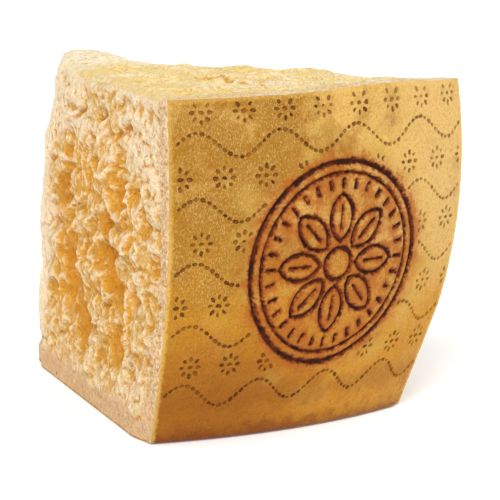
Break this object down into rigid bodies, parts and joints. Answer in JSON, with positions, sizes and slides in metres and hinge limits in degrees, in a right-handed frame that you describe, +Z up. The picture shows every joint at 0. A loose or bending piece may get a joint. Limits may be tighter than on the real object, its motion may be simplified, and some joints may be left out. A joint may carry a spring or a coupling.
{
  "type": "cheese wedge",
  "caption": "Wedge of aged hard grating cheese split from a drum-shaped wheel: smooth bulging rind, craggy torn sides and top, flat base.",
  "frame": {"origin": "middle of the box round the wedge, at the height of the flat base", "axes": "+Z up, the bulging side rind faces -Y, the narrow tip points to +Y, +X is on the right seen from the rind"},
  "size_m": [0.1381, 0.21, 0.1364],
  "materials": {
    "paste": "matte, crumbly, pale straw to golden paste",
    "rind": "smooth, satin golden rind with burnt marks"
  },
  "bodies": {
    "root": {"cheese_wedge": "paste"}
  },
  "joints": []
}
